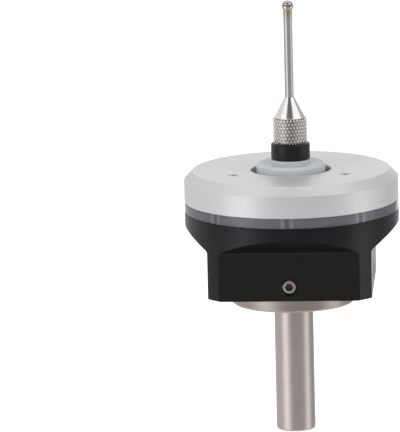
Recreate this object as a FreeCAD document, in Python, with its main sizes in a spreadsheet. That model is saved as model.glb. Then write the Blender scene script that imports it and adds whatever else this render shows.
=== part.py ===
import FreeCAD, Part
import math
import os

import Sketcher

# A touch-probe edge finder, standing on its shank with the ball up.
# Millimetres.  The origin is on the axis at the underside of the flange,
# where the shank starts; +Z runs along the axis to the ball.

SIZES = {
    # shank, turned in one piece with its flange and spigot
    "shank_radius": 4.0,
    "shank_length": 26.9,
    "shank_chamfer": 0.4,
    "flange_radius": 12.7,
    "flange_thickness": 3.3,
    "flange_chamfer": 0.3,
    "spigot_radius": 10.0,
    "spigot_stand": 2.4,
    "spigot_gap": 0.15,
    "spring_floor_rise": 1.2,
    "guide_radius": 2.0,
    "guide_gap": 0.06,
    "guide_engagement": 3.5,
    "plunge_travel": 4.0,
    "plunge_reserve": 0.5,
    # housing, turned and then milled with four flats
    "cavity_room": 5.2,
    "flat_wall": 1.43,
    "corner_wall": 5.3,
    "rim_wall": 1.43,
    "floor_cover": 1.0,
    "window_cover": 0.8,
    "runout_height": 3.5,
    "runout_fillet": 1.0,
    "band_height": 2.54,
    "housing_chamfer": 0.3,
    "rim_chamfer": 0.15,
    "flat_count": 4,
    # centring screws, one in each flat
    "centring_height": 2.8,
    "centring_radius": 1.5,
    "centring_sink": 0.35,
    "centring_recess": 0.5,
    "hex_half_width": 0.75,
    "hex_depth": 1.6,
    "thread_gap": 0.02,
    # cable socket in the left-hand flat
    "socket_half_width": 4.4,
    "socket_half_height": 1.6,
    "socket_corner": 1.3,
    "socket_wall": 0.3,
    "socket_inset": 0.2,
    "socket_gap": 0.2,
    "socket_rear_gap": 0.63,
    "tongue_half_width": 3.2,
    "tongue_half_height": 0.35,
    "tongue_inset": 0.9,
    "socket_board_thickness": 0.6,
    # ring circuit board with its lamps
    "board_thickness": 1.0,
    "board_setback": 0.24,
    "board_margin": 0.3,
    "board_gap": 0.1,
    "lamp_count": 8,
    "lamp_length": 1.6,
    "lamp_depth": 0.8,
    "lamp_height": 1.0,
    "lamp_gap": 0.1,
    # light ring and cover
    "ring_height": 2.06,
    "ring_wall": 2.0,
    "ring_inset": 0.03,
    "ring_chamfer": 0.12,
    "cover_height": 6.2,
    "cover_roof": 2.5,
    "cover_wall": 2.53,
    "cover_chamfer": 1.74,
    "cover_edge": 0.15,
    "cover_bore_chamfer": 0.25,
    # cover screws with their pillars and the seat ring that they clamp
    "screw_count": 3,
    "screw_radius": 0.6,
    "screw_head_radius": 0.95,
    "screw_head_height": 0.9,
    "screw_sink": 0.1,
    "screw_hex_half_width": 0.4,
    "screw_hex_depth": 0.6,
    "screw_grip": 3.35,
    "screw_hole_gap": 0.12,
    "pillar_radius": 1.9,
    "pillar_gap": 0.2,
    "seat_height": 2.8,
    "seat_margin": 2.1,
    "seat_mouth_gap": 0.35,
    # rocking hub on its pivot ball
    "pivot_drop": 5.0,
    "hub_lap": 1.15,
    "hub_gap": 0.05,
    "hub_skirt": 3.0,
    "hub_shoulder": 4.3,
    "neck_radius": 7.05,
    "neck_gap": 1.1,
    "neck_round": 0.8,
    "neck_stand": 1.4,
    "boss_wall": 1.1,
    "boss_height": 0.7,
    "recess_gap": 1.4,
    "recess_roof": 0.4,
    "ball_radius": 2.5,
    "socket_web": 0.85,
    "insert_wall": 1.45,
    "stud_radius": 1.45,
    "stud_setback": 1.8,
    "press_gap": 0.01,
    # spring cup under the pivot ball, and the return spring
    "cup_lip": 0.75,
    "cup_drop": 1.1,
    "cup_thickness": 2.9,
    "cup_relief_radius": 0.8,
    "cup_gap": 0.03,
    "wire_radius": 0.35,
    "coil_gap": 0.75,
    "spring_bore_gap": 0.95,
    "coil_turns": 7.0,
    # contact pins and the blades that they touch
    "pin_radius": 0.75,
    "pin_stand": 3.7,
    "pin_depth": 2.9,
    "pin_count": 3,
    "blade_gap": 0.06,
    "blade_thickness": 0.2,
    "blade_half_width": 0.8,
    "blade_over": 1.0,
    "blade_foot": 2.0,
    # stylus: collar, knurled base with its cone, stem and ball
    "collar_radius": 3.98,
    "collar_height": 3.3,
    "collar_chamfer": 0.3,
    "base_radius": 3.45,
    "knurl_height": 5.3,
    "knurl_depth": 0.28,
    "knurl_pitch": 0.72,
    "knurl_core_gap": 0.1,
    "cone_height": 4.2,
    "cone_lip": 0.08,
    "stem_radius": 0.9,
    "stem_shoulder": 0.3,
    "stem_tail_rise": 0.3,
    "tip_radius": 1.2,
    "tip_height": 18.7,
}

doc = FreeCAD.newDocument("EdgeFinder")
sheet = doc.addObject("Spreadsheet::Sheet", "Sizes")
for row, (alias, number) in enumerate(SIZES.items(), start=1):
    sheet.set("A%d" % row, alias)
    sheet.set("B%d" % row, str(number))
    sheet.setAlias("B%d" % row, alias)
doc.recompute()


class Size:
    """A length with its value and the sheet expression that gives it."""

    def __init__(self, text, value):
        self.text = text
        self.value = value

    def __add__(self, other):
        other = as_size(other)
        return Size("(%s + %s)" % (self.text, other.text), self.value + other.value)

    def __sub__(self, other):
        other = as_size(other)
        return Size("(%s - %s)" % (self.text, other.text), self.value - other.value)

    def __mul__(self, other):
        other = as_size(other)
        return Size("(%s * %s)" % (self.text, other.text), self.value * other.value)

    def __truediv__(self, other):
        other = as_size(other)
        return Size("(%s / %s)" % (self.text, other.text), self.value / other.value)

    def __neg__(self):
        return self * -1

    def root(self):
        return Size("sqrt(%s)" % self.text, math.sqrt(self.value))


def as_size(number):
    if isinstance(number, Size):
        return number
    return Size("(%s)" % float(number), float(number))


def size(alias):
    return Size("Sizes.%s" % alias, float(sheet.get(alias)))


def leg(hypotenuse, side):
    """The other side of a right-angled triangle."""
    return (hypotenuse * hypotenuse - side * side).root()


ZERO = as_size(0)

# Heights along the axis
housing_base = size("flange_thickness")
centring_axis = housing_base + size("centring_height")
housing_floor = centring_axis + size("centring_radius") + size("floor_cover")
socket_axis = housing_floor + size("socket_board_thickness") + size("socket_half_height")
flat_corner = socket_axis + size("socket_half_height") + size("window_cover")
runout_top = flat_corner + size("runout_height")
housing_rim = runout_top + size("band_height")
board_top = housing_rim - size("board_setback")
board_ledge = board_top - size("board_thickness")
cover_base = housing_rim + size("ring_height")
cover_top = cover_base + size("cover_height")
roof = cover_top - size("cover_roof")
seat_base = roof - size("seat_height")
screw_top = cover_top - size("screw_sink")
screw_shoulder = screw_top - size("screw_head_height")
screw_tip = seat_base - size("screw_grip")
pivot = roof - size("pivot_drop")
spring_floor = housing_base + size("spring_floor_rise")
cup_top = pivot - size("cup_drop")
cup_base = cup_top - size("cup_thickness")
neck_top = cover_top + size("neck_stand")
boss_top = neck_top + size("boss_height")
insert_base = pivot + size("ball_radius") + size("hub_gap") + size("socket_web")
collar_top = boss_top + size("collar_height")
knurl_top = collar_top + size("knurl_height")
stem_foot = knurl_top + size("stem_tail_rise")
cone_top = knurl_top + size("cone_height")
tip_centre = cone_top + size("tip_height")

# Radii and distances from the axis
spigot_pocket = size("spigot_radius") + size("spigot_gap")
cavity_radius = size("spigot_radius") + size("cavity_room")
flat_distance = cavity_radius + size("flat_wall")
housing_radius = flat_distance + size("corner_wall")
rim_bore = housing_radius - size("rim_wall")
board_inner = cavity_radius + size("board_margin")
board_outer = rim_bore - size("board_gap")
ring_outer = housing_radius - size("ring_inset")
ring_inner = ring_outer - size("ring_wall")
screw_circle = cavity_radius - size("pillar_gap") - size("pillar_radius")
cover_bore = size("neck_radius") + size("neck_gap")
hub_radius = cover_bore + size("hub_lap")
seat_socket = hub_radius + size("hub_gap")
ball_socket = size("ball_radius") + size("hub_gap")
insert_radius = size("stud_radius") + size("insert_wall")
boss_radius = insert_radius + size("boss_wall")
coil_radius = size("guide_radius") + size("coil_gap") + size("wire_radius")
cup_radius = coil_radius + size("wire_radius") + size("cup_lip")
recess_radius = cup_radius + size("recess_gap")
pin_reach = hub_radius + size("pin_stand")
socket_mouth = flat_distance - size("socket_inset")
socket_rear = size("spigot_radius") + size("socket_rear_gap")
tail_radius = size("stem_radius") - size("stem_shoulder")


def new_body(label):
    body = doc.addObject("PartDesign::Body", label)
    body.Label = label
    return body


def origin_feature(body, role):
    for feature in body.Origin.OriginFeatures:
        if feature.Role == role:
            return feature
    raise ValueError(role)


def new_sketch(body, name, role="XZ_Plane", offset=None):
    sketch = body.newObject("Sketcher::SketchObject", name)
    sketch.AttachmentSupport = (origin_feature(body, role), [""])
    sketch.MapMode = "FlatFace"
    if offset is not None:
        sketch.setExpression(".AttachmentOffset.Base.z", offset.text)
    return sketch


def vector(point):
    return FreeCAD.Vector(point[0].value, point[1].value, 0)


def pin_coordinate(sketch, kind, axis, geometry, end, distance):
    """Fix one coordinate of a vertex: on the axis, or at a bound distance from it."""
    if distance is ZERO:
        sketch.addConstraint(Sketcher.Constraint("PointOnObject", geometry, end, axis))
        return
    if distance.value < 0:
        distance = -distance
        places = (geometry, end, -1, 1)
    else:
        places = (-1, 1, geometry, end)
    index = sketch.addConstraint(Sketcher.Constraint(kind, *places, distance.value))
    sketch.setExpression("Constraints[%d]" % index, distance.text)


def add_side(sketch, start, end, arc):
    """One side of an outline; returns its geometry and which end is the start."""
    first = vector(start)
    last = vector(end)
    if arc is None:
        return sketch.addGeometry(Part.LineSegment(first, last)), 1
    radius, centre = arc
    middle = vector(centre)
    turn = (first - middle).cross(last - middle).z
    angles = [math.atan2(point.y - middle.y, point.x - middle.x) for point in (first, last)]
    circle = Part.Circle(middle, FreeCAD.Vector(0, 0, 1), radius.value)
    if turn > 0:
        return sketch.addGeometry(Part.ArcOfCircle(circle, angles[0], angles[1])), 1
    return sketch.addGeometry(Part.ArcOfCircle(circle, angles[1], angles[0])), 2


def outline(sketch, corners, arcs=None):
    """A closed outline through corners.  arcs: index of a corner -> (radius, centre)
    of the round side that leaves it."""
    arcs = arcs or {}
    sides = []
    for index, start in enumerate(corners):
        end = corners[(index + 1) % len(corners)]
        sides.append(add_side(sketch, start, end, arcs.get(index)))
    for index, (geometry, start_end) in enumerate(sides):
        following, next_start = sides[(index + 1) % len(sides)]
        joint = Sketcher.Constraint("Coincident", geometry, 3 - start_end, following, next_start)
        sketch.addConstraint(joint)
        x, y = corners[index]
        pin_coordinate(sketch, "DistanceX", -2, geometry, start_end, x)
        pin_coordinate(sketch, "DistanceY", -1, geometry, start_end, y)
    for index, (radius, centre) in arcs.items():
        rule = Sketcher.Constraint("Radius", sides[index][0], radius.value)
        number = sketch.addConstraint(rule)
        sketch.setExpression("Constraints[%d]" % number, radius.text)


def rounded_rectangle(sketch, middle, half_width, half_height, corner):
    x, y = middle
    left = x - half_width
    right = x + half_width
    low = y - half_height
    high = y + half_height
    corners = [
        (left + corner, low), (right - corner, low),
        (right, low + corner), (right, high - corner),
        (right - corner, high), (left + corner, high),
        (left, high - corner), (left, low + corner),
    ]
    arcs = {
        1: (corner, (right - corner, low + corner)),
        3: (corner, (right - corner, high - corner)),
        5: (corner, (left + corner, high - corner)),
        7: (corner, (left + corner, low + corner)),
    }
    outline(sketch, corners, arcs)


def hexagon(sketch, middle, half_width):
    """A hexagon with two sides across the sketch's x direction."""
    x, y = middle
    reach = half_width * (2 / math.sqrt(3))
    half = reach / 2
    outline(sketch, [
        (x + reach, y), (x + half, y + half_width), (x - half, y + half_width),
        (x - reach, y), (x - half, y - half_width), (x + half, y - half_width),
    ])


def axis_line(sketch, start, end):
    """A construction line that a feature turns about."""
    line = sketch.addGeometry(Part.LineSegment(vector(start), vector(end)), True)
    for position, point in ((1, start), (2, end)):
        pin_coordinate(sketch, "DistanceX", -2, line, position, point[0])
        pin_coordinate(sketch, "DistanceY", -1, line, position, point[1])


def turned(body, name, sketch, kind="PartDesign::Revolution", axis="V_Axis"):
    feature = body.newObject(kind, name)
    feature.Profile = sketch
    feature.ReferenceAxis = (sketch, [axis])
    feature.Angle = 360
    return feature


def padded(body, name, sketch, length):
    feature = body.newObject("PartDesign::Pad", name)
    feature.Profile = sketch
    feature.setExpression("Length", length.text)
    return feature


def pocketed(body, name, sketch, length, reverse=False, both_ways=False):
    feature = body.newObject("PartDesign::Pocket", name)
    feature.Profile = sketch
    feature.Midplane = both_ways
    feature.Reversed = reverse
    feature.setExpression("Length", length.text)
    return feature


def repeated(body, name, features, count):
    pattern = body.newObject("PartDesign::PolarPattern", name)
    pattern.Originals = features
    pattern.Axis = (origin_feature(body, "Z_Axis"), [""])
    pattern.Angle = 360
    pattern.setExpression("Occurrences", count.text)
    body.Tip = pattern
    return pattern


def turned_piece(label, corners, arcs=None):
    """A piece turned about the probe's axis from one outline of (radius, height)."""
    body = new_body(label)
    sketch = new_sketch(body, label + "_outline")
    outline(sketch, corners, arcs)
    turned(body, label + "_turned", sketch)
    return body


def make_shank():
    radius = size("shank_radius")
    end = -size("shank_length")
    chamfer = size("shank_chamfer")
    flange = size("flange_radius")
    edge = size("flange_chamfer")
    spigot = size("spigot_radius")
    spigot_top = housing_floor + size("spigot_stand")
    bore = coil_radius + size("wire_radius") + size("spring_bore_gap")
    guide = size("guide_radius") + size("guide_gap")
    reach = size("guide_engagement") + size("plunge_travel") + size("plunge_reserve")
    return turned_piece("shank", [
        (ZERO, end), (radius - chamfer, end), (radius, end + chamfer), (radius, ZERO),
        (flange - edge, ZERO), (flange, edge), (flange, housing_base), (spigot, housing_base),
        (spigot, spigot_top), (bore, spigot_top), (bore, spring_floor), (guide, spring_floor),
        (guide, spring_floor - reach), (ZERO, spring_floor - reach),
    ])


def make_housing():
    outer = housing_radius
    chamfer = size("housing_chamfer")
    rim = size("rim_chamfer")
    body = turned_piece("housing", [
        (spigot_pocket, housing_base), (outer - chamfer, housing_base),
        (outer, housing_base + chamfer), (outer, housing_rim - rim),
        (outer - rim, housing_rim), (rim_bore, housing_rim), (rim_bore, board_ledge),
        (cavity_radius, board_ledge), (cavity_radius, housing_floor),
        (spigot_pocket, housing_floor),
    ])
    mill_flats(body)
    bore_centring_holes(body)
    mill_socket_window(body)
    return body


def mill_flats(body):
    """A flat that ends in a slanted run-out, with a fillet where the two meet."""
    outer = housing_radius
    flat = flat_distance
    fillet = size("runout_fillet")
    across = outer - flat
    rise = size("runout_height")
    slant = (across * across + rise * rise).root()
    trim = fillet * (slant - rise) / across
    below = housing_base - 1
    beyond = outer + 1
    sketch = new_sketch(body, "flat_outline")
    outline(sketch, [
        (flat, below), (flat, flat_corner - trim),
        (flat + trim * across / slant, flat_corner + trim * rise / slant),
        (outer, runout_top), (beyond, runout_top), (beyond, below),
    ], {1: (fillet, (flat + fillet, flat_corner - trim))})
    cut = pocketed(body, "flat_cut", sketch, outer * 2 + 2, both_ways=True)
    repeated(body, "flats", [cut], size("flat_count"))


def bore_centring_holes(body):
    """A threaded hole with a countersunk mouth through the wall under each flat."""
    flat = flat_distance
    bore = size("centring_radius")
    sink = size("centring_sink")
    inside = size("spigot_radius")
    outside = flat + 1
    sketch = new_sketch(body, "centring_outline")
    outline(sketch, [
        (inside, centring_axis), (inside, centring_axis + bore),
        (flat - sink, centring_axis + bore), (flat, centring_axis + bore + sink),
        (outside, centring_axis + bore + sink), (outside, centring_axis),
    ])
    axis_line(sketch, (inside, centring_axis), (outside, centring_axis))
    hole = turned(body, "centring_hole", sketch, "PartDesign::Groove", "Axis0")
    repeated(body, "centring_holes", [hole], size("flat_count"))


def mill_socket_window(body):
    gap = size("socket_gap")
    start = flat_distance + 1
    sketch = new_sketch(body, "window_outline", "YZ_Plane", -start)
    rounded_rectangle(sketch, (ZERO, socket_axis), size("socket_half_width") + gap,
                      size("socket_half_height") + gap, size("socket_corner") + gap)
    pocketed(body, "window", sketch, start - cavity_radius + 1, reverse=True)


def make_centring_screws():
    """Hexagon socket set screws that bear on the spigot."""
    body = new_body("centring_screws")
    radius = size("centring_radius") - size("thread_gap")
    point = size("spigot_radius") + size("thread_gap")
    head = flat_distance - size("centring_recess")
    edge = size("centring_sink")
    sketch = new_sketch(body, "screw_outline")
    outline(sketch, [
        (point, centring_axis), (point, centring_axis + radius - edge),
        (point + edge, centring_axis + radius), (head - edge, centring_axis + radius),
        (head, centring_axis + radius - edge), (head, centring_axis),
    ])
    axis_line(sketch, (point, centring_axis), (head, centring_axis))
    screw = turned(body, "screw_turned", sketch, axis="Axis0")
    key = new_sketch(body, "screw_key", "YZ_Plane", head)
    hexagon(key, (ZERO, centring_axis), size("hex_half_width"))
    recess = pocketed(body, "screw_recess", key, size("hex_depth"))
    repeated(body, "screws", [screw, recess], size("flat_count"))
    return body


def make_socket_shell():
    body = new_body("socket_shell")
    wall = size("socket_wall")
    length = socket_mouth - socket_rear
    sketch = new_sketch(body, "shell_outline", "YZ_Plane", -socket_mouth)
    middle = (ZERO, socket_axis)
    rounded_rectangle(sketch, middle, size("socket_half_width"), size("socket_half_height"),
                      size("socket_corner"))
    padded(body, "shell_block", sketch, length)
    hollow = new_sketch(body, "shell_hollow", "YZ_Plane", -socket_mouth)
    rounded_rectangle(hollow, middle, size("socket_half_width") - wall,
                      size("socket_half_height") - wall, size("socket_corner") - wall)
    pocketed(body, "shell_opening", hollow, length - wall, reverse=True)
    return body


def make_socket_tongue():
    body = new_body("socket_tongue")
    front = socket_mouth - size("tongue_inset")
    sketch = new_sketch(body, "tongue_outline", "YZ_Plane", -front)
    rounded_rectangle(sketch, (ZERO, socket_axis), size("tongue_half_width"),
                      size("tongue_half_height"), size("tongue_half_height") / 2)
    padded(body, "tongue_block", sketch, front - socket_rear - size("socket_wall"))
    return body


def make_socket_board():
    body = new_body("socket_board")
    thickness = size("socket_board_thickness")
    width = size("socket_half_width")
    depth = leg(cavity_radius, width) - socket_rear
    sketch = new_sketch(body, "socket_board_outline", "XY_Plane", housing_floor)
    rounded_rectangle(sketch, (-(socket_rear + depth / 2), ZERO), depth / 2, width, thickness)
    padded(body, "socket_board_plate", sketch, thickness)
    return body


def make_circuit_board():
    return turned_piece("circuit_board", [
        (board_inner, board_ledge), (board_outer, board_ledge),
        (board_outer, board_top), (board_inner, board_top),
    ])


def make_lamps():
    body = new_body("lamps")
    reach = ring_inner - size("lamp_gap")
    depth = size("lamp_depth")
    sketch = new_sketch(body, "lamp_outline", "XY_Plane", board_top)
    rounded_rectangle(sketch, (reach - depth / 2, ZERO), depth / 2, size("lamp_length") / 2,
                      depth / 8)
    lamp = padded(body, "lamp", sketch, size("lamp_height"))
    repeated(body, "lamp_circle", [lamp], size("lamp_count"))
    return body


def make_light_ring():
    outer = ring_outer
    edge = size("ring_chamfer")
    return turned_piece("light_ring", [
        (ring_inner, housing_rim), (outer - edge, housing_rim), (outer, housing_rim + edge),
        (outer, cover_base - edge), (outer - edge, cover_base), (ring_inner, cover_base),
    ])


def make_cover():
    outer = housing_radius
    inner = outer - size("cover_wall")
    lip = size("cover_bore_chamfer")
    slope = size("cover_chamfer")
    edge = size("cover_edge")
    body = turned_piece("cover", [
        (inner, cover_base), (outer - edge, cover_base), (outer, cover_base + edge),
        (outer, cover_top - slope),
        (outer - slope, cover_top), (cover_bore + lip, cover_top),
        (cover_bore, cover_top - lip), (cover_bore, roof), (inner, roof),
    ])
    cut_screw_holes(body, roof - 1, screw_shoulder, cover_top)
    return body


def cut_screw_holes(body, low, shoulder, top):
    """Holes for the cover screws from low to top, wider for the heads above the shoulder."""
    circle = screw_circle
    hole = size("screw_radius") + size("screw_hole_gap")
    mouth = size("screw_head_radius") + size("screw_hole_gap")
    above = top + 1
    corners = [(circle, low), (circle + hole, low)]
    if shoulder is None:
        corners.append((circle + hole, above))
    else:
        corners.append((circle + hole, shoulder))
        corners.append((circle + mouth, shoulder))
        corners.append((circle + mouth, above))
    corners.append((circle, above))
    sketch = new_sketch(body, body.Label + "_screw_outline", "YZ_Plane")
    outline(sketch, corners)
    axis_line(sketch, (circle, low), (circle, above))
    cut = turned(body, body.Label + "_screw_hole", sketch, "PartDesign::Groove", "Axis0")
    repeated(body, body.Label + "_screw_holes", [cut], size("screw_count"))


def make_cover_screws():
    body = new_body("cover_screws")
    circle = screw_circle
    radius = size("screw_radius")
    head = size("screw_head_radius")
    sketch = new_sketch(body, "cover_screw_outline", "YZ_Plane")
    outline(sketch, [
        (circle, screw_tip), (circle + radius, screw_tip), (circle + radius, screw_shoulder),
        (circle + head, screw_shoulder), (circle + head, screw_top), (circle, screw_top),
    ])
    axis_line(sketch, (circle, screw_tip), (circle, screw_top))
    screw = turned(body, "cover_screw_turned", sketch, axis="Axis0")
    key = new_sketch(body, "cover_screw_key", "XY_Plane", screw_top)
    hexagon(key, (ZERO, circle), size("screw_hex_half_width"))
    recess = pocketed(body, "cover_screw_recess", key, size("screw_hex_depth"))
    repeated(body, "cover_screw_circle", [screw, recess], size("screw_count"))
    return body


def make_pillars():
    """Threaded pillars between the housing's floor and the seat ring."""
    body = new_body("pillars")
    circle = screw_circle
    bore = size("screw_radius") + size("thread_gap")
    floor = screw_tip - 1
    sketch = new_sketch(body, "pillar_outline", "YZ_Plane")
    outer = circle + size("pillar_radius")
    outline(sketch, [
        (circle, housing_floor), (outer, housing_floor), (outer, seat_base),
        (circle + bore, seat_base), (circle + bore, floor), (circle, floor),
    ])
    axis_line(sketch, (circle, housing_floor), (circle, seat_base))
    pillar = turned(body, "pillar_turned", sketch, axis="Axis0")
    repeated(body, "pillar_circle", [pillar], size("screw_count"))
    return body


def make_seat_ring():
    """The ring whose spherical socket the hub is pushed up into."""
    outer = screw_circle + size("seat_margin")
    mouth = cover_bore + size("seat_mouth_gap")
    body = turned_piece("seat_ring", [
        (leg(seat_socket, seat_base - pivot), seat_base), (outer, seat_base), (outer, roof),
        (mouth, roof), (mouth, pivot + leg(seat_socket, mouth)),
    ], {4: (seat_socket, (ZERO, pivot))})
    cut_screw_holes(body, seat_base - 1, None, roof)
    return body


def make_return_spring():
    """A coil of wire with eight-sided section."""
    body = new_body("return_spring")
    wire = size("wire_radius")
    rise = cup_base - spring_floor - wire * 2
    x = coil_radius
    y = spring_floor + wire
    half = wire * (math.sqrt(2) - 1)
    sketch = new_sketch(body, "wire_section")
    outline(sketch, [
        (x + wire, y - half), (x + wire, y + half), (x + half, y + wire), (x - half, y + wire),
        (x - wire, y + half), (x - wire, y - half), (x - half, y - wire), (x + half, y - wire),
    ])
    coil = body.newObject("PartDesign::AdditiveHelix", "coil")
    coil.Profile = sketch
    coil.ReferenceAxis = (sketch, ["V_Axis"])
    coil.Mode = 0
    coil.setExpression("Pitch", (rise / size("coil_turns")).text)
    coil.setExpression("Height", rise.text)
    return body


def make_spring_cup():
    """A guide rod with a disc whose cone carries the pivot ball."""
    rod = size("guide_radius")
    low = spring_floor - size("guide_engagement")
    disc = cup_radius
    relief = size("cup_relief_radius")
    apex = pivot - (size("ball_radius") + size("cup_gap")) * math.sqrt(2)
    return turned_piece("spring_cup", [
        (ZERO, low), (rod, low), (rod, cup_base), (disc, cup_base), (disc, cup_top),
        (cup_top - apex, cup_top), (relief, apex + relief), (ZERO, apex + relief),
    ])


def make_pivot_ball():
    ball = doc.addObject("Part::Sphere", "pivot_ball")
    ball.setExpression("Radius", size("ball_radius").text)
    ball.setExpression(".Placement.Base.z", pivot.text)
    return ball


def make_stylus_hub():
    """The rocking hub: a spherical zone, a neck and a boss, with a socket for the ball."""
    sphere = hub_radius
    low = pivot - size("hub_skirt")
    shoulder = pivot + size("hub_shoulder")
    neck = size("neck_radius")
    edge = size("neck_round")
    recess = recess_radius
    drop = size("recess_roof")
    bore = insert_radius + size("press_gap")
    body = turned_piece("stylus_hub", [
        (recess, low), (leg(sphere, size("hub_skirt")), low),
        (leg(sphere, size("hub_shoulder")), shoulder), (neck, shoulder),
        (neck, neck_top - edge), (neck - edge, neck_top), (boss_radius, neck_top),
        (boss_radius, boss_top), (bore, boss_top), (bore, insert_base),
        (ZERO, insert_base), (ZERO, pivot + ball_socket),
        (leg(ball_socket, drop), pivot - drop), (recess, pivot - drop),
    ], {
        1: (sphere, (ZERO, pivot)),
        4: (edge, (neck - edge, neck_top - edge)),
        11: (ball_socket, (ZERO, pivot)),
    })
    drill = size("pin_radius") + size("press_gap")
    start = sphere - size("pin_depth")
    sketch = new_sketch(body, "pin_hole_outline", "YZ_Plane")
    outline(sketch, [(-start, pivot), (-start, pivot + drill),
                     (-(sphere + 1), pivot + drill), (-(sphere + 1), pivot)])
    axis_line(sketch, (-start, pivot), (-(sphere + 1), pivot))
    hole = turned(body, "pin_hole", sketch, "PartDesign::Groove", "Axis0")
    repeated(body, "pin_holes", [hole], size("pin_count"))
    return body


def make_hub_insert():
    bore = size("stud_radius") + size("thread_gap")
    return turned_piece("hub_insert", [
        (bore, insert_base), (insert_radius, insert_base), (insert_radius, boss_top),
        (bore, boss_top),
    ])


def make_contact_pin(number):
    """A round-nosed pin that stands out of the hub, level with the pivot."""
    label = "contact_pin_%d" % number
    body = new_body(label)
    radius = size("pin_radius")
    start = hub_radius - size("pin_depth")
    reach = pin_reach
    sketch = new_sketch(body, label + "_outline", "YZ_Plane")
    outline(sketch, [
        (-start, pivot), (-reach, pivot), (-(reach - radius), pivot + radius),
        (-start, pivot + radius),
    ], {1: (radius, (-(reach - radius), pivot))})
    axis_line(sketch, (-start, pivot), (-reach, pivot))
    turned(body, label + "_turned", sketch, axis="Axis0")
    turn_about_axis(body, number, size("pin_count"))
    return body


def make_contact_blade(number):
    """An angled blade on the circuit board whose upright leg faces a pin's nose."""
    label = "contact_blade_%d" % number
    body = new_body(label)
    face = pin_reach + size("blade_gap")
    thickness = size("blade_thickness")
    foot = board_inner + size("blade_foot")
    top = pivot + size("blade_over")
    width = size("blade_half_width") * 2
    sketch = new_sketch(body, label + "_outline", "YZ_Plane")
    outline(sketch, [
        (-face, board_top), (-face, top), (-(face + thickness), top),
        (-(face + thickness), board_top + thickness), (-foot, board_top + thickness),
        (-foot, board_top),
    ])
    blade = padded(body, label + "_plate", sketch, width)
    blade.Midplane = True
    turn_about_axis(body, number, size("pin_count"))
    return body


def turn_about_axis(body, number, count):
    """Place the piece as the number-th of count around the probe's axis."""
    body.Placement.Rotation.Axis = FreeCAD.Vector(0, 0, 1)
    body.setExpression(".Placement.Rotation.Angle", "%d * 360 / %s" % (number - 1, count.text))


def make_collar():
    outer = size("collar_radius")
    bore = size("stud_radius") + size("thread_gap")
    edge = size("collar_chamfer")
    return turned_piece("collar", [
        (bore, boss_top), (outer - edge, boss_top), (outer, boss_top + edge),
        (outer, collar_top - edge), (outer - edge, collar_top), (bore, collar_top),
    ])


def make_knurl():
    """A diamond knurl: crests and valleys alternate round the grip and up it, and four
    slanted facets run down from each crest to the valleys beside, above and below it."""
    radius = size("base_radius").value
    depth = size("knurl_depth").value
    height = size("knurl_height").value
    pitch = size("knurl_pitch").value
    columns = 2 * round(2 * math.pi * radius / pitch)
    rows = round(height / pitch)

    def corner(column, row):
        reach = radius - depth * ((column + row) % 2)
        angle = 2 * math.pi * column / columns
        rise = collar_top.value + height * row / rows
        return FreeCAD.Vector(reach * math.cos(angle), reach * math.sin(angle), rise)

    def facet(*corners):
        return Part.Face(Part.makePolygon(list(corners) + [corners[0]]))

    facets = [
        facet(*[corner(column, row) for column in range(columns)])
        for row in (0, rows)
    ]
    for row in range(rows):
        for column in range(columns):
            near = [corner(column, row), corner(column + 1, row)]
            far = [corner(column, row + 1), corner(column + 1, row + 1)]
            if (column + row) % 2:
                near.reverse()
                far.reverse()
            facets.append(facet(near[0], near[1], far[1]))
            facets.append(facet(near[0], far[1], far[0]))
    knurl = doc.addObject("Part::Feature", "knurl")
    knurl.Shape = Part.Solid(Part.Shell(facets))
    return knurl


def make_stylus_base():
    """The knurled grip with its threaded stud, cone and bore for the stem."""
    outer = size("base_radius")
    core = outer - size("knurl_depth") - size("knurl_core_gap")
    stud = size("stud_radius")
    bore = tail_radius + size("press_gap")
    bore_floor = stem_foot - size("press_gap")
    stud_end = insert_base + size("stud_setback")
    body = turned_piece("stylus_base_core", [
        (ZERO, stud_end), (stud, stud_end), (stud, collar_top), (core, collar_top),
        (core, knurl_top), (size("stem_radius") + size("cone_lip"), cone_top),
        (bore, cone_top), (bore, bore_floor), (ZERO, bore_floor),
    ])
    grip = doc.addObject("Part::Fuse", "stylus_base")
    grip.Base = body
    grip.Tool = make_knurl()
    return grip


def make_stylus_stem():
    """The stem, with a tail in the base and a cup for the ball."""
    tail = tail_radius
    radius = size("stem_radius")
    cup = size("tip_radius") + size("press_gap")
    return turned_piece("stylus_stem", [
        (ZERO, stem_foot), (tail, stem_foot), (tail, cone_top), (radius, cone_top),
        (radius, tip_centre - leg(cup, radius)), (ZERO, tip_centre - cup),
    ], {4: (cup, (ZERO, tip_centre))})


def make_ball_tip():
    ball = doc.addObject("Part::Sphere", "ball_tip")
    ball.setExpression("Radius", size("tip_radius").text)
    ball.setExpression(".Placement.Base.z", tip_centre.text)
    return ball


def make_pieces():
    pieces = [
        make_shank(), make_housing(), make_centring_screws(), make_socket_shell(),
        make_socket_tongue(), make_socket_board(), make_circuit_board(), make_lamps(),
        make_light_ring(), make_cover(), make_cover_screws(), make_pillars(), make_seat_ring(),
        make_return_spring(), make_spring_cup(), make_pivot_ball(), make_stylus_hub(),
        make_hub_insert(), make_collar(), make_stylus_base(), make_stylus_stem(),
        make_ball_tip(),
    ]
    for number in range(1, int(size("pin_count").value) + 1):
        pieces.append(make_contact_pin(number))
        pieces.append(make_contact_blade(number))
    return pieces


def check(pieces):
    for item in doc.Objects:
        for state in item.State:
            if state in ("Invalid", "Error"):
                raise RuntimeError("%s is %s" % (item.Name, state))
    for piece in pieces:
        if piece.Shape.isNull() or not piece.Shape.isValid():
            raise RuntimeError("%s has no valid shape" % piece.Label)


def export(pieces):
    os.makedirs("parts", exist_ok=True)
    for piece in pieces:
        piece.Shape.exportStep("parts/%s.step" % piece.Label)
        solids = piece.Shape.Solids
        volume = sum(solid.Volume for solid in solids)
        print("%-16s solids %d  volume %9.2f" % (piece.Label, len(solids), volume))


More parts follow.
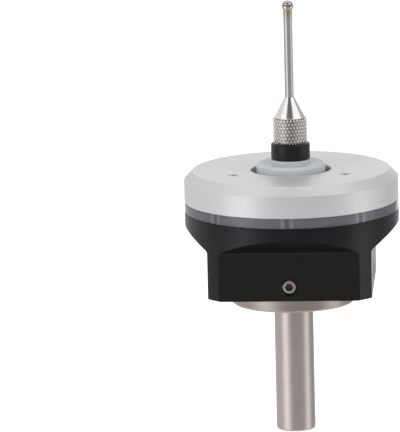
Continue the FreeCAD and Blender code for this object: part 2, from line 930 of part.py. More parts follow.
all_pieces = make_pieces()
doc.recompute()
check(all_pieces)
export(all_pieces)
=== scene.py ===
import math

import bmesh
import bpy
from mathutils import Matrix, Vector


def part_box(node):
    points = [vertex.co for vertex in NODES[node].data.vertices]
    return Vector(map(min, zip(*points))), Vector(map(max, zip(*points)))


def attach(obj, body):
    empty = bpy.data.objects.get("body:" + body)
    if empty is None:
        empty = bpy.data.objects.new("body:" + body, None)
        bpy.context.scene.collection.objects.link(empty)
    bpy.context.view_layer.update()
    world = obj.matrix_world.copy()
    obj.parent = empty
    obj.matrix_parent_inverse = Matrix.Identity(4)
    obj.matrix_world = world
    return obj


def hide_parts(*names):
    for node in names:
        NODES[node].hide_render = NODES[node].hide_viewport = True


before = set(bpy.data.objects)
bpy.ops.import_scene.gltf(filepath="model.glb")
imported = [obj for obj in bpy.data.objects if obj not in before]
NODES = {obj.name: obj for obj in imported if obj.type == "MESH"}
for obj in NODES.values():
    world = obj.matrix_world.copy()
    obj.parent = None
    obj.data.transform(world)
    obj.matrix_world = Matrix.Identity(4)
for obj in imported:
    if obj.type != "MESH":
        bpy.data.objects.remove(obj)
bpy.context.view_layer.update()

MM = 0.001


# ---------------------------------------------------------------- sizes read from the frame

def span(node):
    """Largest radius, lowest and highest point of a node turned about the axis, in mm."""
    low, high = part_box(node)
    return high.x / MM, low.z / MM, high.z / MM


HOUSING_R, HOUSING_LOW, HOUSING_TOP = span("housing")
COVER_R, COVER_LOW, COVER_TOP = span("cover")
RING_R, RING_LOW, RING_TOP = span("light_ring")
HUB_R, _, HUB_TOP = span("stylus_hub")
COLLAR_R, COLLAR_LOW, COLLAR_TOP = span("collar")
BASE_R, BASE_LOW, BASE_TOP = span("stylus_base")
STEM_R, STEM_LOW, STEM_TOP = span("stylus_stem")
BALL_R, BALL_LOW, BALL_TOP = span("ball_tip")
FLANGE_R, SHANK_LOW, SHANK_TOP = span("shank")
SCREW_HEAD, SCREW_LOW, SCREW_HIGH = span("centring_screws")

FLANGE_TOP = HOUSING_LOW
SCREW_Z = (SCREW_LOW + SCREW_HIGH) / 2
BALL_Z = (BALL_LOW + BALL_TOP) / 2


# ---------------------------------------------------------------- other sizes, in mm

SHAFT_R = 4.0                          # the straight part of the shank
SPIGOT_R = 10.0                        # the shank's top, inside the housing

FLAT_COUNT = 4
FLAT = SCREW_HEAD + 0.5                # a flat, from the axis
FLAT_LOW = 2.3                         # below the housing's underside
CORNER_Z = 13.2                        # where the run-out leaves the flat
RUNOUT_Z = 16.7                        # where it meets the round of the housing
CAVITY_R = 15.2
RIM_WALL = 1.43

SET_SCREW_R = 1.5
SET_SCREW_KEY = 0.75                   # half the hexagon's width across its flats

COVER_WALL = 2.53
COVER_ROOF = 2.5
COVER_CHAMFER = 1.74
COVER_BORE = 8.15
COVER_SCREW_CIRCLE = 13.1
COVER_SCREW_ANGLES = (90, 210, 330)
COVER_SCREW_R = 0.6
COVER_SCREW_HEAD_R = 0.95
COVER_SCREW_HEAD = 0.9                 # the head's height
SCREW_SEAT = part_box("cover_screws")[1].z / MM - COVER_SCREW_HEAD

RING_WALL = 2.0
LAMP_COUNT = 8
LAMP_Z = 19.5

PIVOT_Z = 20.0
HUB_SKIRT = 3.0                        # the hub's sphere, below the pivot
HUB_SHOULDER = 4.3                     # and above it
NECK_R = 7.05
INSERT_R = 2.91

STUD_R = 1.45
CONE_LOW = STEM_LOW - 0.3              # where the knurl ends and the cone begins
CONE_R = 3.16
TAIL_BORE_R = 0.61
KNURL_DIAMONDS = 30
KNURL_TALL = 1.4286
KNURL_DEPTH = 0.26


# ---------------------------------------------------------------- meshes

def rounded(corners, radii, steps=6):
    """A closed outline whose corners named in radii become arcs."""
    points = []
    count = len(corners)
    for index, corner in enumerate(corners):
        here = Vector(corner)
        radius = radii.get(index)
        if radius is None:
            points.append(here)
            continue
        back = (Vector(corners[index - 1]) - here).normalized()
        ahead = (Vector(corners[(index + 1) % count]) - here).normalized()
        half = back.angle(ahead) / 2
        reach = radius / math.tan(half)
        centre = here + (back + ahead).normalized() * (radius / math.sin(half))
        first = here + back * reach - centre
        last = here + ahead * reach - centre
        turn = first.angle(last)
        for step in range(steps + 1):
            part = step / steps
            blend = first * math.sin(turn * (1 - part)) + last * math.sin(turn * part)
            points.append(centre + blend / math.sin(turn))
    return points


def arc(centre_z, radius, start, end, steps):
    """Points on a sphere about the axis, from one angle above its equator to another."""
    points = []
    for step in range(steps + 1):
        angle = math.radians(start + (end - start) * step / steps)
        points.append(Vector((radius * math.cos(angle), centre_z + radius * math.sin(angle))))
    return points


def finished(name, shape, sharp=32):
    """The object for a bmesh, smooth except along its sharp edges."""
    bmesh.ops.remove_doubles(shape, verts=shape.verts, dist=1e-7)
    bmesh.ops.recalc_face_normals(shape, faces=shape.faces)
    mesh = bpy.data.meshes.new(name)
    shape.to_mesh(mesh)
    shape.free()
    return shaded(placed(name, mesh), sharp)


def placed(name, mesh):
    piece = bpy.data.objects.new(name, mesh)
    bpy.context.scene.collection.objects.link(piece)
    return piece


def shaded(piece, sharp=32):
    for face in piece.data.polygons:
        face.use_smooth = True
    piece.data.set_sharp_from_angle(angle=math.radians(sharp))
    return piece


def spun(shape, outline, segments):
    """Adds the surface of an outline turned about the Z axis; each point is (radius, height)."""
    rings = []
    for radius, height in outline:
        if radius < 1e-6:
            rings.append([shape.verts.new((0, 0, height * MM))])
            continue
        ring = []
        for step in range(segments):
            angle = 2 * math.pi * (step + 0.5) / segments
            ring.append(shape.verts.new((radius * math.cos(angle) * MM,
                                         radius * math.sin(angle) * MM, height * MM)))
        rings.append(ring)
    for near, far in zip(rings, rings[1:] + rings[:1]):
        if len(near) == 1 and len(far) == 1:
            continue
        for step in range(segments):
            after = (step + 1) % segments
            corners = [near[step % len(near)], near[after % len(near)],
                       far[after % len(far)], far[step % len(far)]]
            shape.faces.new(list(dict.fromkeys(corners)))


def lathe(name, outline, segments=192):
    shape = bmesh.new()
    spun(shape, outline, segments)
    return finished(name, shape)


def prism(name, section, low, high):
    """A bar whose section lies in X and Z, from low to high along Y."""
    shape = bmesh.new()
    ends = []
    for place in (low, high):
        ends.append([shape.verts.new((x * MM, place * MM, z * MM)) for x, z in section])
    shape.faces.new(ends[0])
    shape.faces.new(list(reversed(ends[1])))
    for near, after, far_after, far in zip(ends[0], ends[0][1:] + ends[0][:1],
                                           ends[1][1:] + ends[1][:1], ends[1]):
        shape.faces.new([near, far, far_after, after])
    return finished(name, shape)


def slot_section(half_width, half_height, radius, centre=(0, 0)):
    """A rectangle with round corners, as points."""
    x, z = centre
    return rounded([(x - half_width, z - half_height), (x + half_width, z - half_height),
                    (x + half_width, z + half_height), (x - half_width, z + half_height)],
                   dict.fromkeys(range(4), radius))


def turned_about(piece, degrees, axis="Z"):
    piece.data.transform(Matrix.Rotation(math.radians(degrees), 4, axis))
    return piece


def moved(piece, x, y, z):
    piece.data.transform(Matrix.Translation((x * MM, y * MM, z * MM)))
    return piece


def cut(piece, cutters, sharp=32):
    """Subtracts the cutters from the piece and bakes the result into its mesh."""
    for cutter in cutters:
        modifier = piece.modifiers.new("cut", "BOOLEAN")
        modifier.operation = "DIFFERENCE"
        modifier.solver = "EXACT"
        modifier.object = cutter
    graph = bpy.context.evaluated_depsgraph_get()
    mesh = bpy.data.meshes.new_from_object(piece.evaluated_get(graph))
    piece.modifiers.clear()
    piece.data = mesh
    for cutter in cutters:
        bpy.data.objects.remove(cutter)
    return shaded(piece, sharp)


def joined(name, pieces, sharp=32):
    shape = bmesh.new()
    for piece in pieces:
        shape.from_mesh(piece.data)
        bpy.data.objects.remove(piece)
    mesh = bpy.data.meshes.new(name)
    shape.to_mesh(mesh)
    shape.free()
    return shaded(placed(name, mesh), sharp)


# ---------------------------------------------------------------- the pieces

def on_screw_circle(piece, angle):
    a = math.radians(angle)
    return moved(piece, COVER_SCREW_CIRCLE * math.cos(a), COVER_SCREW_CIRCLE * math.sin(a), 0)


def make_cover():
    inner = COVER_R - COVER_WALL
    roof = COVER_TOP - COVER_ROOF
    cover = lathe("cover_shell", rounded([
        (inner, COVER_LOW), (COVER_R, COVER_LOW), (COVER_R, COVER_TOP - COVER_CHAMFER),
        (COVER_R - COVER_CHAMFER, COVER_TOP), (COVER_BORE, COVER_TOP), (COVER_BORE, roof),
        (inner, roof),
    ], {1: 0.15, 2: 0.12, 3: 0.12, 4: 0.3, 6: 0.3}), 256)
    shaft = COVER_SCREW_R + 0.12
    head = COVER_SCREW_HEAD_R + 0.12
    mouth = head + 0.18
    cutters = []
    for angle in COVER_SCREW_ANGLES:
        hole = lathe("hole", [(0, roof - 1), (shaft, roof - 1), (shaft, SCREW_SEAT),
                              (head, SCREW_SEAT), (head, COVER_TOP - 0.1),
                              (mouth, COVER_TOP + 0.08), (mouth, COVER_TOP + 1),
                              (0, COVER_TOP + 1)], 48)
        cutters.append(on_screw_circle(hole, angle))
    return cut(cover, cutters)


def make_ring():
    inner = RING_R - RING_WALL
    return lathe("light_ring_lens", rounded([
        (inner, RING_LOW), (RING_R, RING_LOW), (RING_R, RING_TOP), (inner, RING_TOP),
    ], {1: 0.12, 2: 0.12}), 256)


def make_lamps():
    _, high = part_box("lamps")
    half_depth = 0.4
    middle = (high.x / MM - half_depth, LAMP_Z)
    lamps = []
    for number in range(LAMP_COUNT):
        body = prism("lamp", slot_section(half_depth, 0.5, 0.1, middle), -0.8, 0.8)
        lamps.append(turned_about(body, 360 / LAMP_COUNT * number))
    return joined("lamp_bodies", lamps)


def mill_section():
    """What a milling cutter takes off one side: a flat that ends in a slanted run-out."""
    past = HOUSING_R + 3
    slant = (RUNOUT_Z - CORNER_Z) / (HOUSING_R - FLAT)
    return rounded([
        (FLAT, FLAT_LOW), (FLAT, CORNER_Z), (past, RUNOUT_Z + 3 * slant), (past, FLAT_LOW),
    ], {1: 1.0}, 10)


def make_housing():
    floor = 8.6
    ledge = 18.0
    shank_hole = SPIGOT_R + 0.15
    rim = HOUSING_R - RIM_WALL
    housing = lathe("housing_block", rounded([
        (shank_hole, HOUSING_LOW), (HOUSING_R, HOUSING_LOW), (HOUSING_R, HOUSING_TOP),
        (rim, HOUSING_TOP), (rim, ledge), (CAVITY_R, ledge), (CAVITY_R, floor),
        (shank_hole, floor),
    ], {1: 0.3, 2: 0.15, 6: 0.4}), 256)
    cutters = []
    for side in range(FLAT_COUNT):
        mill = prism("mill", mill_section(), -26, 26)
        cutters.append(turned_about(mill, 360 / FLAT_COUNT * side))
    for side in range(FLAT_COUNT):
        bore = lathe("bore", [(0, SPIGOT_R - 0.1), (SET_SCREW_R, SPIGOT_R - 0.1),
                              (SET_SCREW_R, FLAT - 0.35), (SET_SCREW_R + 0.35, FLAT),
                              (SET_SCREW_R + 0.35, FLAT + 1), (0, FLAT + 1)], 64)
        bore = moved(turned_about(bore, 90, "Y"), 0, 0, SCREW_Z)
        cutters.append(turned_about(bore, 360 / FLAT_COUNT * side))
    low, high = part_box("socket_shell")
    middle = (low.z + high.z) / 2 / MM
    window = prism("window", slot_section(4.6, 1.8, 1.5, (0, middle)), CAVITY_R - 1, FLAT + 1)
    cutters.append(turned_about(window, 90))
    return cut(housing, cutters)


def set_screw():
    """A set screw along Z with its face at height 0 and a hexagon recess."""
    length = SCREW_HEAD - SPIGOT_R - 0.02
    radius = SET_SCREW_R - 0.02
    corner = SET_SCREW_KEY * 2 / math.sqrt(3)
    screw = lathe("screw", rounded([
        (0, -length), (radius, -length), (radius, 0), (0, 0),
    ], {1: 0.3, 2: 0.3}), 64)
    key = lathe("key", [(0, -1.6), (SET_SCREW_KEY * 0.9, -1.35), (corner, -1.3), (corner, 1),
                        (0, 1)], 6)
    return cut(screw, [key])


def make_set_screws():
    screws = []
    for side in range(FLAT_COUNT):
        screw = moved(set_screw(), 0, 0, SCREW_HEAD)
        screw = moved(turned_about(screw, 90, "Y"), 0, 0, SCREW_Z)
        screws.append(turned_about(screw, 360 / FLAT_COUNT * side))
    return joined("set_screws", screws)


def make_cover_screws():
    low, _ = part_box("cover_screws")
    tip = low.z / MM
    top = SCREW_SEAT + COVER_SCREW_HEAD
    screws = []
    for angle in COVER_SCREW_ANGLES:
        screw = lathe("screw", rounded([
            (0, tip), (COVER_SCREW_R, tip), (COVER_SCREW_R, SCREW_SEAT),
            (COVER_SCREW_HEAD_R, SCREW_SEAT), (COVER_SCREW_HEAD_R, top), (0, top),
        ], {1: 0.15, 4: 0.12}), 48)
        key = lathe("key", [(0, top - 0.72), (0.46, top - 0.6), (0.46, top + 1), (0, top + 1)], 6)
        screws.append(on_screw_circle(cut(screw, [key]), angle))
    return joined("cover_cap_screws", screws)


def make_shank():
    """The shank, its flange and its spigot, which has a bore for the spring and its guide."""
    chamfer = 0.35
    spring_r = 5
    spring_floor = 4.5
    guide_r = 2.06
    guide_floor = -3.4
    return lathe("shank_turned", rounded([
        (0, SHANK_LOW), (SHAFT_R, SHANK_LOW), (SHAFT_R, 0), (FLANGE_R - chamfer, 0),
        (FLANGE_R, chamfer), (FLANGE_R, FLANGE_TOP), (SPIGOT_R, FLANGE_TOP),
        (SPIGOT_R, SHANK_TOP), (spring_r, SHANK_TOP), (spring_r, spring_floor),
        (guide_r, spring_floor), (guide_r, guide_floor), (0, guide_floor),
    ], {1: 0.4, 7: 0.3}), 256)


def sphere_angle(height, radius):
    """How far above a sphere's equator a height on it lies, in degrees."""
    return math.degrees(math.asin(height / radius))


def make_hub():
    """The rocking hub: a band of a sphere, a neck, a boss and a seat for the pivot ball."""
    hollow_r = 5.55
    boss_r = 4.0
    ball_r = 2.55
    ball_low = -0.4
    insert_foot = PIVOT_Z + 3.4
    shoulder = PIVOT_Z + HUB_SHOULDER
    neck_top = HUB_TOP - 0.7
    upper = sphere_angle(HUB_SHOULDER, HUB_R)
    outline = [Vector((hollow_r, PIVOT_Z - HUB_SKIRT))]
    outline += arc(PIVOT_Z, HUB_R, sphere_angle(-HUB_SKIRT, HUB_R), upper, 24)
    outline += rounded([(HUB_R * math.cos(math.radians(upper)), shoulder), (NECK_R, shoulder),
                        (NECK_R, neck_top), (boss_r, neck_top)], {2: 0.8}, 10)[1:]
    outline += rounded([(boss_r, neck_top), (boss_r, HUB_TOP), (INSERT_R, HUB_TOP)], {1: 0.08})
    outline += [Vector((INSERT_R, insert_foot)), Vector((0, insert_foot))]
    outline += reversed(arc(PIVOT_Z, ball_r, sphere_angle(ball_low, ball_r), 90, 16))
    outline += [Vector((hollow_r, PIVOT_Z + ball_low))]
    return lathe("hub_moulding", outline, 224)


def make_collar():
    bore = STUD_R + 0.02
    return lathe("collar_sleeve", rounded([
        (bore, COLLAR_LOW), (COLLAR_R, COLLAR_LOW), (COLLAR_R, COLLAR_TOP), (bore, COLLAR_TOP),
    ], {1: 0.2, 2: 0.3}), 192)


def knurl_depth(across, up):
    """How deep two crossed families of V grooves lie at a place, counted in diamonds."""
    first = 1 - abs(2 * ((across + up) % 1) - 1)
    second = 1 - abs(2 * ((across - up) % 1) - 1)
    height = min(first, second)
    if height > 0.5:
        return -0.05 * (height - 0.5)
    return KNURL_DEPTH * (1 - height / 0.5)


def ring_of(shape, radii, z):
    """A level ring of vertices with the given radii, evenly round the axis."""
    ring = []
    for column, radius in enumerate(radii):
        angle = 2 * math.pi * column / len(radii)
        ring.append(shape.verts.new((radius * math.cos(angle) * MM,
                                     radius * math.sin(angle) * MM, z * MM)))
    return ring


def band(shape, near, far):
    """The faces between two rings, or between a ring and a single point."""
    for column in range(len(near)):
        after = (column + 1) % len(near)
        if len(far) == 1:
            shape.faces.new([near[column], near[after], far[0]])
        else:
            shape.faces.new([near[column], near[after], far[after], far[column]])


def knurl_rings(shape, low, high):
    """The level rings of the knurl, 14 steps to a diamond, easing in at both ends."""
    per = 14
    columns = KNURL_DIAMONDS * per
    rows = round((high - low) / KNURL_TALL * per)
    lead = 0.25
    rings = []
    for row in range(rows + 1):
        z = low + (high - low) * row / rows
        ease = min(1.0, min(z - low, high - z) / lead)
        radii = [BASE_R - 0.03 - knurl_depth(column / per, (z - low) / KNURL_TALL)
                 - 0.14 * (1 - ease) for column in range(columns)]
        rings.append(ring_of(shape, radii, z))
    return rings


def make_grip():
    """The knurled grip with its stud below and its cone above."""
    low = COLLAR_TOP
    high = CONE_LOW
    shape = bmesh.new()
    rings = knurl_rings(shape, low, high)
    for near, far in zip(rings, rings[1:]):
        band(shape, near, far)
    stud = [(STUD_R, low), (STUD_R, BASE_LOW), (0, BASE_LOW)]
    cone = [(CONE_R + 0.04, high + 0.02), (CONE_R, high + 0.1)] + cone_outline(high)
    for ring, outline in ((rings[0], stud), (rings[-1], cone)):
        for radius, z in outline:
            around = ring_of(shape, [radius] * len(ring) if radius else [0], z)
            band(shape, ring, around)
            ring = around
    return finished("grip_knurled", shape, 40)


def cone_outline(low):
    """The cone from the knurl to the stem, with its bore for the stem's tail."""
    lip_r = STEM_R + 0.08
    foot = low + 0.1
    points = [(CONE_R - (CONE_R - lip_r) * k / 12, foot + (BASE_TOP - foot) * k / 12)
              for k in range(13)]
    return points + [(TAIL_BORE_R, BASE_TOP), (TAIL_BORE_R, low + 0.3), (0, low + 0.3)]


def make_stem():
    tail = TAIL_BORE_R - 0.01
    cup = BALL_R + 0.01
    edge = math.degrees(math.acos(STEM_R / cup))
    outline = [Vector((0, STEM_LOW)), Vector((tail, STEM_LOW)), Vector((tail, BASE_TOP)),
               Vector((STEM_R, BASE_TOP))]
    outline += arc(BALL_Z, cup, -edge, -90, 8)
    return lathe("stem_rod", outline, 96)


def make_ball():
    return lathe("tip_ball", arc(BALL_Z, BALL_R, -90, 90, 64), 128)


PIECES = {
    "cover": (make_cover(), "probe_body", ["cover"]),
    "ring": (make_ring(), "probe_body", ["light_ring"]),
    "lamps": (make_lamps(), "probe_body", ["lamps"]),
    "housing": (make_housing(), "probe_body", ["housing"]),
    "set_screws": (make_set_screws(), "probe_body", ["centring_screws"]),
    "cover_screws": (make_cover_screws(), "probe_body", ["cover_screws"]),
    "shank": (make_shank(), "probe_body", ["shank"]),
    "hub": (make_hub(), "stylus", ["stylus_hub"]),
    "collar": (make_collar(), "stylus", ["collar"]),
    "grip": (make_grip(), "stylus", ["stylus_base"]),
    "stem": (make_stem(), "stylus", ["stylus_stem"]),
    "ball": (make_ball(), "stylus", ["ball_tip"]),
}
for piece, body, nodes in PIECES.values():
    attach(piece, body)
    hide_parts(*nodes)


# ---------------------------------------------------------------- materials

class Finish:
    """A Principled material with helpers for its procedural nodes."""

    def __init__(self, name, **sockets):
        self.material = bpy.data.materials.new(name)
        self.material.use_nodes = True
        self.nodes = self.material.node_tree.nodes
        self.links = self.material.node_tree.links
        self.shader = self.nodes["Principled BSDF"]
        for socket, value in sockets.items():
            self.shader.inputs[socket.replace("_", " ")].default_value = value
        self.place = self.add("ShaderNodeTexCoord").outputs["Object"]

    def add(self, kind, inputs=None, **properties):
        node = self.nodes.new(kind)
        for name, value in properties.items():
            setattr(node, name, value)
        for name, value in (inputs or {}).items():
            if isinstance(value, bpy.types.NodeSocket):
                self.links.new(value, node.inputs[name])
            else:
                node.inputs[name].default_value = value
        return node

    def maths(self, operation, first, second=0.0):
        return self.add("ShaderNodeMath", {0: first, 1: second}, operation=operation).outputs[0]

    def turned(self, across, along):
        """Coordinates that are the same all round the axis: radius and height, in mm."""
        parts = self.add("ShaderNodeSeparateXYZ", {0: self.place}).outputs
        squares = self.maths("ADD", self.maths("MULTIPLY", parts[0], parts[0]),
                             self.maths("MULTIPLY", parts[1], parts[1]))
        radius = self.maths("SQRT", squares)
        return self.add("ShaderNodeCombineXYZ", {
            0: self.maths("MULTIPLY", radius, across / MM),
            2: self.maths("MULTIPLY", parts[2], along / MM),
        }).outputs[0]

    def stretched(self, x, y, z):
        return self.add("ShaderNodeMapping", {"Vector": self.place,
                                              "Scale": (x / MM, y / MM, z / MM)}).outputs[0]

    def noise(self, vector, scale=1.0, detail=3.0, roughness=0.55):
        return self.add("ShaderNodeTexNoise", {
            "Vector": vector, "Scale": scale, "Detail": detail, "Roughness": roughness,
        }).outputs[0]

    def ramp(self, value, *stops):
        node = self.add("ShaderNodeValToRGB", {0: value})
        elements = node.color_ramp.elements
        while len(elements) < len(stops):
            elements.new(0.5)
        for element, (place, shade) in zip(elements, stops):
            element.position = place
            element.color = (*shade, 1) if isinstance(shade, tuple) else (shade,) * 3 + (1,)
        return node.outputs[0]

    def span(self, value, low, high):
        """Noise, which lies mostly between 0.3 and 0.7, mapped to low to high."""
        return self.add("ShaderNodeMapRange", {0: value, 1: 0.3, 2: 0.7, 3: low, 4: high}
                        ).outputs[0]

    def mix(self, factor, first, second):
        node = self.add("ShaderNodeMix", data_type="RGBA")
        for name, value in ((0, factor), (6, first), (7, second)):
            if isinstance(value, bpy.types.NodeSocket):
                self.links.new(value, node.inputs[name])
            elif name == 0:
                node.inputs[name].default_value = value
            else:
                node.inputs[name].default_value = (*value, 1)
        return node.outputs[2]

    def colour(self, value):
        self.links.new(value, self.shader.inputs["Base Color"])

    def roughness(self, value):
        self.links.new(value, self.shader.inputs["Roughness"])

    def bump(self, height, strength, distance, edge=0.0):
        """Relief of the given depth in mm; edge is the width of the softened edges."""
        inputs = {"Height": height, "Strength": strength, "Distance": distance * MM}
        if edge:
            bevel = self.add("ShaderNodeBevel", {"Radius": edge * MM}, samples=6)
            inputs["Normal"] = bevel.outputs[0]
        self.links.new(self.add("ShaderNodeBump", inputs).outputs[0],
                       self.shader.inputs["Normal"])


def satin_aluminium():
    """Blasted and clear-anodised aluminium, for the cover."""
    finish = Finish("satin_aluminium", Metallic=0.62, Specular_IOR_Level=0.4)
    grain = finish.noise(finish.turned(9, 9), 1.0, 4)
    cloud = finish.noise(finish.stretched(0.12, 0.12, 0.12), 1.0, 2)
    finish.colour(finish.mix(cloud, (0.66, 0.66, 0.665), (0.69, 0.69, 0.69)))
    finish.roughness(finish.span(grain, 0.42, 0.48))
    finish.bump(finish.noise(finish.stretched(14, 14, 14), 1.0, 3), 0.25, 0.01, 0.1)
    return finish.material


def black_anodised():
    """Black anodised aluminium, for the housing."""
    finish = Finish("black_anodised", Specular_IOR_Level=0.28)
    grain = finish.noise(finish.stretched(9, 9, 9), 1.0, 4)
    cloud = finish.noise(finish.stretched(0.15, 0.15, 0.3), 1.0, 3)
    finish.colour(finish.mix(cloud, (0.0040, 0.0040, 0.0048), (0.0058, 0.0058, 0.0066)))
    finish.roughness(finish.span(grain, 0.27, 0.33))
    finish.bump(grain, 0.2, 0.006, 0.06)
    return finish.material


def brushed_steel():
    """Turned stainless steel; the flange is rougher, and painted shade under the housing makes it
    a little darker than the shank.
    """
    finish = Finish("brushed_steel", Metallic=1.0)
    fine = finish.noise(finish.turned(7, 7), 1.0, 4, 0.7)
    bands = finish.noise(finish.turned(0.7, 0.7), 1.0, 3)
    cloud = finish.noise(finish.stretched(0.35, 0.35, 0.2), 1.0, 3)
    tone = finish.mix(bands, (0.55, 0.485, 0.455), (0.64, 0.575, 0.555))
    tone = finish.mix(finish.span(cloud, 0, 0.35), tone, (0.50, 0.43, 0.40))
    radius = finish.add("ShaderNodeSeparateXYZ", {0: finish.turned(1, 1)}).outputs[0]
    # painted shade: the flange, just under the housing, gets a darker colour than the shank; the
    # same mask also makes it rougher
    flange = finish.add("ShaderNodeMapRange", {0: radius, 1: SHAFT_R + 0.5, 2: SHAFT_R + 2,
                                               3: 0.0, 4: 1.0}).outputs[0]
    finish.colour(finish.mix(flange, tone, (0.50, 0.445, 0.41)))
    finish.roughness(finish.maths("ADD", finish.span(fine, 0.32, 0.42),
                                  finish.maths("MULTIPLY", flange, 0.06)))
    finish.bump(fine, 0.25, 0.010, 0.05)
    return finish.material


def smoky_acrylic():
    """The clear, slightly violet outside of the light ring."""
    finish = Finish("smoky_acrylic", IOR=1.49, Transmission_Weight=0.92)
    streaks = finish.noise(finish.turned(2, 4.5), 1.0, 3)
    cloud = finish.noise(finish.stretched(0.2, 0.2, 0.9), 1.0, 3)
    tone = finish.mix(streaks, (0.54, 0.53, 0.575), (0.62, 0.61, 0.655))
    finish.colour(finish.mix(finish.span(cloud, 0, 0.5), tone, (0.46, 0.45, 0.50)))
    finish.roughness(finish.span(streaks, 0.05, 0.14))
    finish.bump(streaks, 0.12, 0.012)
    return finish.material


def frosted_wall():
    """The frosted inner wall of the light ring: clearer beside each lamp, dark at its chip."""
    finish = Finish("frosted_wall")
    streaks = finish.noise(finish.turned(3, 5), 1.0, 4, 0.6)
    cloud = finish.noise(finish.stretched(0.18, 0.18, 0.5), 1.0, 3)
    tone = finish.mix(streaks, (0.17, 0.165, 0.19), (0.26, 0.255, 0.29))
    tone = finish.mix(finish.span(cloud, 0, 0.6), tone, (0.11, 0.105, 0.125))
    parts = finish.add("ShaderNodeSeparateXYZ", {0: finish.place}).outputs
    angle = finish.maths("ARCTAN2", parts[1], parts[0])
    turn = finish.maths("DIVIDE", angle, 2 * math.pi / LAMP_COUNT)
    off = finish.maths("ABSOLUTE", finish.maths("SUBTRACT", turn, finish.maths("ROUND", turn)))
    rim = finish.ramp(off, (0.0, 0.0), (0.025, 0.1), (0.045, 0.7), (0.065, 0.6), (0.09, 0.0))
    chip = finish.ramp(off, (0.0, 0.7), (0.015, 0.6), (0.035, 0.0))
    tone = finish.mix(rim, tone, (0.52, 0.51, 0.56))
    finish.colour(finish.mix(chip, tone, (0.05, 0.05, 0.06)))
    finish.roughness(finish.span(streaks, 0.4, 0.6))
    finish.bump(streaks, 0.3, 0.02)
    return finish.material


def nylon():
    """The pale moulded plastic of the hub."""
    finish = Finish("nylon", IOR=1.53, Subsurface_Weight=0.35, Subsurface_Scale=0.002,
                    Subsurface_Radius=(0.8, 0.9, 1.0))
    cloud = finish.noise(finish.stretched(0.3, 0.3, 0.5), 1.0, 3)
    lines = finish.noise(finish.turned(6, 6), 1.0, 3)
    finish.colour(finish.mix(cloud, (0.43, 0.455, 0.485), (0.475, 0.50, 0.53)))
    finish.roughness(finish.span(lines, 0.36, 0.46))
    finish.bump(lines, 0.15, 0.01)
    return finish.material


def matt_black():
    """The black collar, with fine turning lines."""
    finish = Finish("matt_black", Specular_IOR_Level=0.45)
    lines = finish.noise(finish.turned(8, 8), 1.0, 4)
    cloud = finish.noise(finish.stretched(0.5, 0.5, 0.5), 1.0, 3)
    finish.colour(finish.mix(cloud, (0.0025, 0.0025, 0.0028), (0.0040, 0.0040, 0.0044)))
    finish.roughness(finish.span(lines, 0.32, 0.44))
    finish.bump(lines, 0.35, 0.012, 0.06)
    return finish.material


def knurled_steel():
    """Bright steel; painted shade darkens the knurl's grooves, more the deeper they lie."""
    finish = Finish("knurled_steel", Metallic=1.0)
    parts = finish.add("ShaderNodeSeparateXYZ", {0: finish.turned(1, 1)}).outputs
    # painted shade in the knurl's grooves: darker the deeper the surface lies, on the knurl only
    deep = finish.add("ShaderNodeMapRange", {0: parts[0], 1: BASE_R - 0.27, 2: BASE_R - 0.07,
                                             3: 1.0, 4: 0.0}).outputs[0]
    on_knurl = finish.maths("LESS_THAN", parts[2], CONE_LOW + 0.02)
    groove_shade = finish.maths("MULTIPLY", deep, on_knurl)
    cloud = finish.noise(finish.stretched(1.1, 1.1, 0.6), 1.0, 3)
    tone = finish.mix(cloud, (0.90, 0.885, 0.87), (0.98, 0.97, 0.96))
    finish.colour(finish.mix(groove_shade, tone, (0.40, 0.33, 0.30)))
    lines = finish.noise(finish.turned(9, 9), 1.0, 3)
    finish.roughness(finish.span(lines, 0.10, 0.18))
    finish.bump(lines, 0.12, 0.008)
    return finish.material


def ground_steel():
    """The ground stem, browner and darker over its last 2 mm below the ball."""
    finish = Finish("ground_steel", Metallic=1.0)
    lines = finish.noise(finish.turned(8, 8), 1.0, 3)
    parts = finish.add("ShaderNodeSeparateXYZ", {0: finish.turned(1, 1)}).outputs
    top = finish.add("ShaderNodeMapRange", {0: parts[2], 1: STEM_TOP - 2.2, 2: STEM_TOP - 0.4,
                                            3: 0.0, 4: 0.8}).outputs[0]
    tone = finish.mix(lines, (0.51, 0.475, 0.45), (0.59, 0.55, 0.525))
    finish.colour(finish.mix(top, tone, (0.42, 0.33, 0.28)))
    finish.roughness(finish.span(lines, 0.20, 0.30))
    finish.bump(lines, 0.08, 0.005)
    return finish.material


def polished_ball():
    """The polished measuring ball."""
    finish = Finish("polished_ball", Metallic=1.0)
    cloud = finish.noise(finish.stretched(1.5, 1.5, 1.5), 1.0, 3)
    finish.colour(finish.mix(cloud, (0.50, 0.50, 0.51), (0.57, 0.57, 0.58)))
    finish.roughness(finish.span(cloud, 0.04, 0.09))
    return finish.material


def bright_screw():
    """The worn steel of the screws."""
    finish = Finish("bright_screw", Metallic=1.0)
    grain = finish.noise(finish.stretched(3, 3, 3), 1.0, 3)
    finish.colour(finish.mix(grain, (0.38, 0.34, 0.33), (0.60, 0.56, 0.54)))
    finish.roughness(finish.span(grain, 0.18, 0.30))
    finish.bump(grain, 0.3, 0.02, 0.06)
    return finish.material


def plain_metal(name, low, high, rough=0.35):
    """A machined metal with fine turning lines."""
    finish = Finish(name, Metallic=1.0)
    lines = finish.noise(finish.turned(6, 6), 1.0, 3)
    finish.colour(finish.mix(lines, low, high))
    finish.roughness(finish.span(lines, rough - 0.06, rough + 0.06))
    finish.bump(lines, 0.25, 0.012)
    return finish.material


def plain_plastic(name, low, high, rough=0.45):
    """A moulded plastic or resin with a light grain."""
    finish = Finish(name)
    grain = finish.noise(finish.stretched(5, 5, 5), 1.0, 3)
    finish.colour(finish.mix(finish.noise(finish.stretched(0.4, 0.4, 0.4)), low, high))
    finish.roughness(finish.span(grain, rough - 0.06, rough + 0.06))
    finish.bump(grain, 0.25, 0.01)
    return finish.material


